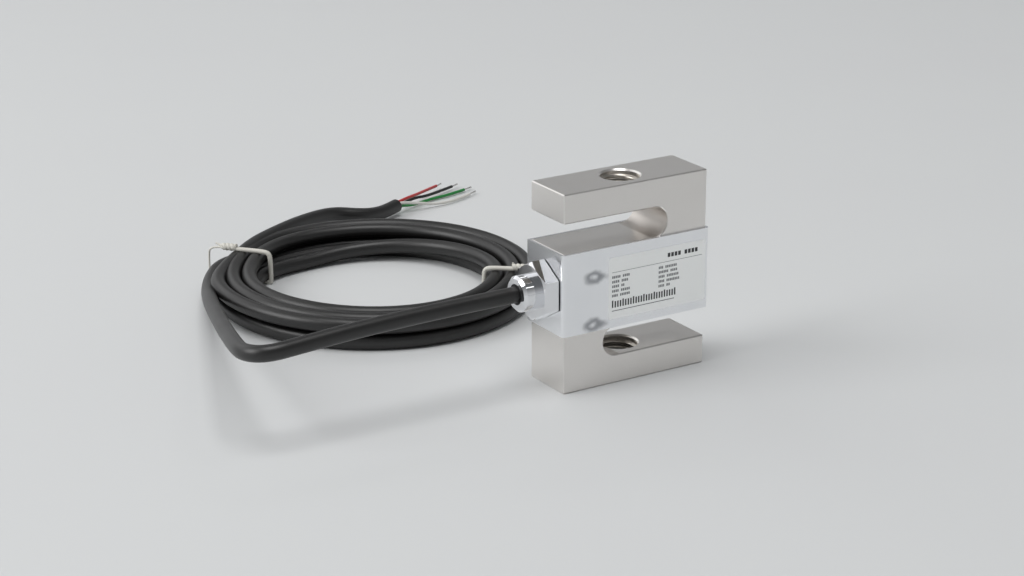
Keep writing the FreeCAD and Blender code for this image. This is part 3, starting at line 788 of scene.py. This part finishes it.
@dataclass
class CoreEnds:
    """The four insulated cores that fan out of the cut sheath, and their bare strands.

    Attributes:
        sheath_end: The sheath's cut end, and the point of the cable before it.
        lay: Each core's offset from the cable's middle, both ways.
        straight: How far a core keeps its lay past the cut.
        fans: For each colour, its side in the sheath and the points that it passes.
    """
    sheath_end: tuple[Vector, Vector]
    core_diameter: float = 1.1 * MM
    lay: float = 0.62 * MM
    straight: float = 2.4 * MM
    bare: float = 4.5 * MM
    strand_diameter: float = 0.19 * MM
    strand_count: int = 6
    strand_lay: float = 0.2 * MM
    strand_turns: float = 1.1
    strand_splay: float = 0.14 * MM
    strand_sunk: float = 0.5 * MM
    strand_steps: int = 12
    fans: dict[str, tuple[tuple[int, int], tuple[Point, ...]]] = field(
        default_factory=lambda: {
            "red": ((1, 1), ((0.0258, 0.1769, 0.0044), (0.0312, 0.1800, 0.0039),
                             (0.0383, 0.1853, 0.0030), (0.0457, 0.1904, 0.0022))),
            "black": ((1, -1), ((0.0310, 0.1807, 0.0025), (0.0348, 0.1808, 0.0023),
                                (0.0423, 0.1840, 0.0019), (0.0516, 0.1889, 0.0014))),
            "green": ((-1, -1), ((0.0271, 0.1765, 0.0013), (0.0331, 0.1790, 0.0009),
                                 (0.0390, 0.1810, 0.0009), (0.0451, 0.1813, 0.0009),
                                 (0.0543, 0.1843, 0.0009))),
            "white": ((-1, 1), ((0.0293, 0.1733, 0.0026), (0.0346, 0.1734, 0.0013),
                                (0.0430, 0.1736, 0.0009), (0.0532, 0.1783, 0.0009))),
        })

    def core_route(self, colour: str) -> list[Vector]:
        """Return a core's control points, from inside the sheath to its stripped end.

        Args:
            colour: The core's colour.

        Returns:
            The points, in metres.
        """
        (side_y, side_z), points = self.fans[colour]
        before, end = self.sheath_end
        ahead = (end - before).normalized()
        across = Vector((-ahead.y, ahead.x, 0.0)).normalized()
        upward = ahead.cross(across)
        start = end + across * (self.lay * side_y) + upward * (self.lay * side_z)
        return ([start - ahead * self.straight, start, start + ahead * self.straight]
                + [Vector(p) for p in points])

    def strands(self, colour: str) -> list[list[Vector]]:
        """Return the twisted strands that stand out of one core, as control points.

        Args:
            colour: The core's colour.

        Returns:
            The points of each strand, in metres.
        """
        route = self.core_route(colour)
        ahead = (route[-1] - route[-2]).normalized()
        side = ahead.orthogonal().normalized()
        other = ahead.cross(side)
        steps = self.strand_steps
        bundle = [[route[-1] + ahead * (self.bare * s / steps - self.strand_sunk)
                   for s in range(steps + 1)]]
        for number in range(self.strand_count):
            line = []
            for step in range(steps + 1):
                share = step / steps
                turn = math.tau * (number / self.strand_count + self.strand_turns * share)
                reach = self.strand_lay + self.strand_splay * share ** 3
                around = side * math.cos(turn) + other * math.sin(turn)
                line.append(route[-1] + ahead * (self.bare * share - self.strand_sunk)
                            + around * reach)
            bundle.append(line)
        return bundle

    def build(self) -> list[Piece]:
        """Make the four cores and one piece that holds all their bare strands.

        Returns:
            The five pieces.
        """
        pieces = []
        for colour in self.fans:
            core = add_strand(f"core_end_{colour}", [self.core_route(colour)],
                              self.core_diameter)
            pieces.append(seat(core, CORE_FINISHES[colour], Slot[colour.upper()],
                               f"core_{colour}"))
        bundles = [line for colour in self.fans for line in self.strands(colour)]
        bare = add_strand("bare_strands", bundles, self.strand_diameter, resolution=3,
                          round_steps=2)
        pieces.append(seat(bare, TINNED_COPPER, Slot.CONDUCTOR, "bare_conductors"))
        return pieces


@dataclass
class TwistTie:
    """A coated wire round the coil, its two ends twisted together on top.

    The coat is off its outer upright and its loose ends, which are thin bare wire.

    Attributes:
        side: Which of the two ties this is.
        centre: The coil's centre.
        angle: Where the tie crosses the coil, in radians.
        outer: Radius of the wire's outer upright.
        knot_back: How far the twist stays back from that upright's crown.
        bare: Thickness of the wire where its coat is off, as a share of the coated wire.
        inner_tip, outer_tip: How far each loose end stands out and up from the twist.
        inner_shoulder, outer_shoulder: How the wire cuts each top corner, across and down.
        leave_knot, meet_knot: Where the wire leaves the twist and comes back to it.
        tip_swing: How far aside the loose ends stand, at their foot and their tip.
        foot_share: Where the outer loose end's foot is, as a share of its reach.
    """
    side: str
    centre: Vector
    angle: float
    outer: float
    inner: float = 37.1 * MM
    top: float = 11.3 * MM
    wire: float = 1.6 * MM
    crown: float = 3.4 * MM
    foot: float = 1.2 * MM
    knot_back: float = 0.0
    bare: float = 0.42
    twist_length: float = 4.4 * MM
    twist_turns: float = 1.5
    twist_radius: float = 0.55 * MM
    steps_each_turn: int = 8
    inner_tip: Span = (-0.4 * MM, 2.0 * MM)
    outer_tip: Span = (3.2 * MM, 1.3 * MM)
    inner_shoulder: Span = (0.3 * MM, 0.3 * MM)
    outer_shoulder: Span = (0.3 * MM, 0.4 * MM)
    leave_knot: float = 1.5 * MM
    meet_knot: Span = (1.2 * MM, 0.3 * MM)
    tip_swing: Span = (0.3 * MM, 0.5 * MM)
    foot_share: float = 0.4

    @property
    def knot_end(self) -> float:
        """Return the radius at which the twist ends on its outer side."""
        return self.outer - self.crown - self.knot_back

    def helix(self, phase: float) -> list[Point]:
        """Return one wire's way in through the twist, as (radius, sideways, height).

        Args:
            phase: Its angle round the twist where it starts, in radians.

        Returns:
            The points, from the outer end of the twist to the inner.
        """
        steps = int(self.twist_turns * self.steps_each_turn)
        start = self.knot_end - self.twist_length
        axis = self.top + self.twist_radius
        points = []
        for step in range(steps + 1):
            share = step / steps
            turn = phase + math.tau * self.twist_turns * share
            points.append((start + self.twist_length * share,
                           self.twist_radius * math.sin(turn),
                           axis - self.twist_radius * math.cos(turn)))
        return points[::-1]

    def route(self) -> tuple[list[Vector], list[float]]:
        """Return the wire's control points, from loose end to loose end, and their sizes.

        Returns:
            The points, in metres, and the thickness at each, as a share of the coated wire.
        """
        low, top = self.wire / 2, self.top
        end = self.knot_end
        start = end - self.twist_length
        foot_swing, tip_swing = self.tip_swing
        reach, rise = self.outer_tip
        loose = [(end + reach, -tip_swing, top + rise),
                 (end + reach * self.foot_share, -foot_swing, top + rise / 2)]
        across, down = self.inner_shoulder
        coated = [(start - self.leave_knot, 0.0, top),
                  (self.inner + self.crown, 0.0, top),
                  (self.inner + across, 0.0, top - down),
                  (self.inner, 0.0, top - self.crown),
                  (self.inner, 0.0, self.foot + low),
                  (self.inner, 0.0, low),
                  (self.inner + self.foot, 0.0, low),
                  ((self.inner + self.outer) / 2, 0.0, low),
                  (self.outer - self.foot, 0.0, low),
                  (self.outer, 0.0, low)]
        across, down = self.outer_shoulder
        back, above = self.meet_knot
        upright = [(self.outer, 0.0, self.foot + low),
                   (self.outer, 0.0, top - self.crown),
                   (self.outer - across, 0.0, top - down),
                   (end + back, 0.0, top + above)]
        reach, rise = self.inner_tip
        stub = [(start + reach, foot_swing, top + rise / 2),
                (start + reach, (foot_swing + tip_swing) / 2, top + rise)]
        stretches = ((loose, self.bare), (self.helix(0.0), 1.0), (coated, 1.0),
                     (upright, self.bare), (self.helix(math.pi), 1.0),
                     (stub, self.bare))
        turn = Matrix.Rotation(self.angle, 3, "Z")
        wire = [self.centre + turn @ Vector(p) for points, _ in stretches for p in points]
        return wire, [size for points, size in stretches for _ in points]

    def build(self) -> Piece:
        """Make the tie as one bent wire and return it."""
        route, sizes = self.route()
        tie = add_strand(f"tie_wire_{self.side}", [route], self.wire, resolution=5,
                         round_steps=5)
        for control, size in zip(tie.data.splines[0].points, sizes):
            control.radius = size
        return seat(tie, COATED_WIRE, Slot.TIE, f"twist_tie_{self.side}")


# ---- threads
@dataclass
class LoadThread:
    """The cut thread in one arm: a helical ridge that stands in from the major diameter.

    Attributes:
        arm: The arm's name.
        low: Height of the hole's lower mouth.
        high: Height of its upper mouth.
        major: The thread's major diameter.
        crest: Diameter inside the ridge's crest.
        mouth: How deep the mouths are chamfered.
        sunk: How far the ridge's root is set into the wall.
        edge: What is left of half its root where it has faded out.
        root_share, crest_share: Half the ridge's root and crest, as shares of the pitch.
        clear_share: How far it keeps from a mouth's chamfer, as a share of the pitch.
        fade_turns: Over how many turns the ridge fades out.
        least: The least depth that its section is drawn at.
    """
    arm: str
    low: float
    high: float
    major: float = 12.0 * MM
    crest: float = 10.3 * MM
    pitch: float = 1.75 * MM
    mouth: float = 0.5 * MM
    sunk: float = 0.05 * MM
    edge: float = 0.01 * MM
    root_share: float = 0.42
    crest_share: float = 0.08
    clear_share: float = 0.45
    fade_turns: float = 0.3
    least: float = 0.02
    steps_each_turn: int = 72

    def section(self, depth: float) -> list[Span]:
        """Return the ridge's section as (radius, height) points, cut down to a depth.

        Args:
            depth: Height of the ridge, where one is the full thread.

        Returns:
            The six points round the section.
        """
        wall = self.major / 2
        crest = wall - (wall - self.crest / 2) * depth
        root_half = self.root_share * self.pitch * depth + self.edge
        crest_half = self.crest_share * self.pitch * depth + self.edge / 2
        return [(wall + self.sunk, -root_half), (wall, -root_half), (crest, -crest_half),
                (crest, crest_half), (wall, root_half), (wall + self.sunk, root_half)]

    def build(self) -> Piece:
        """Sweep the ridge up the hole, fading out at both mouths, and return it.

        Returns:
            The ridge, as a mesh that is closed at both ends.
        """
        clear = self.mouth + self.clear_share * self.pitch
        start = self.low + clear
        rise = self.high - clear - start
        count = int(rise / self.pitch * self.steps_each_turn)
        points: list[Vector] = []
        faces: list[tuple[int, ...]] = []
        turns = rise / self.pitch
        for step in range(count + 1):
            share = step / count
            depth = smoothstep(min(share, 1 - share) * turns / self.fade_turns)
            turn = math.tau * turns * share
            for radius, height in self.section(max(depth, self.least)):
                points.append(Vector((radius * math.cos(turn), radius * math.sin(turn),
                                      start + rise * share + height)))
        ring = len(self.section(1.0))
        for step in range(count):
            for side in range(ring):
                a, b = step * ring + side, step * ring + (side + 1) % ring
                faces.append((a, b, b + ring, a + ring))
        faces.append(tuple(range(ring))[::-1])
        faces.append(tuple(range(count * ring, (count + 1) * ring)))
        thread = add_mesh(f"{self.arm}_thread_flanks", points, faces, smooth=True)
        # the thread's darker colour is painted shade inside the hole
        return seat(thread, SHADED_THREAD_NICKEL, Slot.BEAM)


# ---- label
@dataclass
class FaceLabel:
    """The silver film label and its generic print: ruled lines, blank entries and a scale.

    Places on the face are in millimetres from the label's lower left corner.
    """
    film: float = 0.07 * MM
    ink: float = 0.015 * MM
    corner: float = 0.6 * MM
    corner_steps: int = 6
    dash_share: float = 0.74
    heading_mm: tuple[Span, ...] = ((21.2, 26.3), (27.4, 32.5))
    heading_height_mm: Span = (15.9, 17.2)
    heading_dash_mm: float = 1.27
    rules_mm: tuple[Mark, ...] = ((1.1, 33.9, 14.5, 14.64), (1.2, 23.8, 2.35, 2.6))
    row_heights_mm: tuple[float, ...] = (12.65, 11.2, 9.75, 8.3, 6.85)
    entry_height_mm: float = 0.8
    entry_dash_mm: float = 0.62
    entry_gap_mm: float = 0.7
    left_column_mm: float = 1.2
    left_entries_mm: tuple[Span, ...] = (
        (3.1, 2.6), (2.7, 2.4), (2.6, 1.2), (2.5, 3.3), (2.2, 3.6))
    right_column_mm: float = 18.0
    right_entries_mm: tuple[Span, ...] = (
        (1.7, 4.3), (3.6, 2.6), (2.3, 4.4), (2.2, 4.8), (2.2, 1.4))
    ticks: int = 25
    tick_mm: float = 0.52
    tick_pitch_mm: float = 0.94
    tick_foot_mm: float = 3.5
    tick_tops_mm: tuple[float, ...] = (5.8, 5.5, 5.5, 5.5)

    def build(self) -> list[Piece]:
        """Make the film and the two inks on it.

        Returns:
            The film, the dark ink and the fine ink.
        """
        low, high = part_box("label")
        self.left, self.bottom = low.x, low.z
        self.back = high.y
        film = self.make_film(high.x - low.x, high.z - low.z)
        seat(film, SILVER_FILM, Slot.LABEL, "label")
        dark = self.make_print("label_scale_print", self.scale_marks())
        seat(dark, RIBBON_INK, Slot.LABEL)
        faint = self.make_print("label_entry_print", self.entry_marks())
        seat(faint, FAINT_INK, Slot.LABEL)
        return [film, dark, faint]

    def make_film(self, width: float, height: float) -> Piece:
        """Make the film as a thin plate with rounded corners.

        Args:
            width: Its width.
            height: Its height.

        Returns:
            The film.
        """
        outline = []
        steps = self.corner_steps
        for index, (x, z) in enumerate(((1, 1), (0, 1), (0, 0), (1, 0))):
            centre_x = self.left + (width - self.corner if x else self.corner)
            centre_z = self.bottom + (height - self.corner if z else self.corner)
            for step in range(steps + 1):
                turn = math.pi / 2 * (index + step / steps)
                outline.append((centre_x + self.corner * math.cos(turn),
                                centre_z + self.corner * math.sin(turn)))
        count = len(outline)
        points = [Vector((x, self.back - self.film, z)) for x, z in outline]
        points += [Vector((x, self.back, z)) for x, z in outline]
        faces = [tuple(range(count)), tuple(range(count, 2 * count))[::-1]]
        faces += [((i + 1) % count, i, i + count, (i + 1) % count + count)
                  for i in range(count)]
        return add_mesh("label_sheet", points, faces)

    def make_print(self, name: str, marks: Sequence[Mark]) -> Piece:
        """Print rectangles on the film.

        Args:
            name: The piece's name.
            marks: The marks, in millimetres on the label.

        Returns:
            One object that holds all the marks.
        """
        points, faces = [], []
        front = self.back - self.film - self.ink
        rear = self.back - self.film
        for x0, x1, z0, z1 in marks:
            first = len(points)
            for y in (front, rear):
                points += [Vector((self.left + x * MM, y, self.bottom + z * MM))
                           for x, z in ((x0, z0), (x1, z0), (x1, z1), (x0, z1))]
            faces += [tuple(first + i for i in face) for face in (
                (0, 1, 2, 3), (7, 6, 5, 4), (0, 4, 5, 1), (1, 5, 6, 2), (2, 6, 7, 3),
                (3, 7, 4, 0))]
        return add_mesh(name, points, faces)

    def dashes(self, left: float, right: float, low: float, high: float,
               dash: float) -> list[Mark]:
        """Break a bar into equal dashes.

        Args:
            left: The bar's left end.
            right: Its right end.
            low: Its lower edge.
            high: Its upper edge.
            dash: About how wide a dash and the space after it are.

        Returns:
            The dashes, as marks.
        """
        count = max(1, round((right - left) / dash))
        step = (right - left) / count
        return [(left + step * n, left + step * (n + self.dash_share), low, high)
                for n in range(count)]

    def scale_marks(self) -> list[Mark]:
        """Return the dark marks: a two-part heading and an evenly divided scale.

        Returns:
            The marks, in millimetres on the label.
        """
        marks = [mark for left, right in self.heading_mm for mark in
                 self.dashes(left, right, *self.heading_height_mm, self.heading_dash_mm)]
        for number in range(self.ticks):
            left = self.left_column_mm + self.tick_pitch_mm * number
            top = self.tick_tops_mm[number % len(self.tick_tops_mm)]
            marks.append((left, left + self.tick_mm, self.tick_foot_mm, top))
        return marks

    def entry_marks(self) -> list[Mark]:
        """Return the fine marks: the rules, and each row's two short entries.

        Returns:
            The marks, in millimetres on the label.
        """
        marks = list(self.rules_mm)
        for column, entries in ((self.left_column_mm, self.left_entries_mm),
                                (self.right_column_mm, self.right_entries_mm)):
            for low, (first, second) in zip(self.row_heights_mm, entries):
                high = low + self.entry_height_mm
                middle = column + first + self.entry_gap_mm
                for left, width in ((column, first), (middle, second)):
                    marks += self.dashes(left, left + width, low, high, self.entry_dash_mm)
        return marks


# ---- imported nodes
@dataclass
class PackedNodes:
    """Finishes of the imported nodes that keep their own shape."""

    def finish_of(self, node: str) -> Finish | None:
        """Return a node's finish, or None if another piece stands for it.

        Args:
            node: The node's name.

        Returns:
            The finish, or None.
        """
        for colour, finish in CORE_FINISHES.items():
            if node == f"inner_core_{colour}":
                return finish
        if node.endswith("_resistor"):
            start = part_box(node)[0].x / MM
            return ResistorLacquer(f"{node}_lacquer", "#3E6F8E", "#386784", 0.35,
                                   ior=1.55, start_mm=start)
        plain = {
            "s_beam_body": SATIN_NICKEL, "front_cover": STAINLESS_PAINTED_REFLECTIONS,
            "rear_cover": PLAIN_STAINLESS, "gland_body": MIRROR_CHROME,
            "gland_collar": MIRROR_CHROME, "gland_washer": ZINC_STEEL,
            "gland_seal": NITRILE, "gland_o_ring": NITRILE,
            "cable_inner_end": EXTRUDED_PVC, "terminal_board": GLASS_EPOXY,
            "front_gauge_leads": TINNED_COPPER, "rear_gauge_leads": TINNED_COPPER,
            "front_potting": POTTING_GEL, "rear_potting": POTTING_GEL,
        }
        if "_gauge_" in node and node not in plain:
            return FOIL_GAUGE
        return plain.get(node)

    def dress(self) -> None:
        """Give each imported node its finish."""
        for name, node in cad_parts.items():
            finish = self.finish_of(name)
            if finish is None:
                continue
            for slot in node.material_slots:
                slot.material = finish.material()
            LOG.info("%s: %s", name, finish.name)


# ---- the whole part
ARM_THICKNESS = 9.0 * MM
LEFT_TIE_OUTER = 59.6 * MM
RIGHT_TIE_OUTER = 54.9 * MM
LEFT_KNOT_BACK = 2.3 * MM


def main() -> None:
    """Make every piece in order."""
    bpy.context.scene.view_settings.view_transform = "Standard"
    Studio().build()
    signal = SignalCable()
    cable = signal.build()
    cores = CoreEnds(sheath_end=(Vector(signal.tail[-2]), Vector(signal.tail[-1]))).build()
    left_angle, right_angle = signal.tie_angles
    ties = [TwistTie("left", signal.coil_centre, left_angle, LEFT_TIE_OUTER,
                     knot_back=LEFT_KNOT_BACK).build(),
            TwistTie("right", signal.coil_centre, right_angle, RIGHT_TIE_OUTER).build()]
    beam_low, beam_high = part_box("s_beam_body")
    LoadThread("lower", beam_low.z, beam_low.z + ARM_THICKNESS).build()
    LoadThread("upper", beam_high.z - ARM_THICKNESS, beam_high.z).build()
    FaceLabel().build()
    PackedNodes().dress()


if __name__ == "__main__":
    logging.basicConfig(level=logging.INFO, format="%(name)s: %(message)s")
    main()
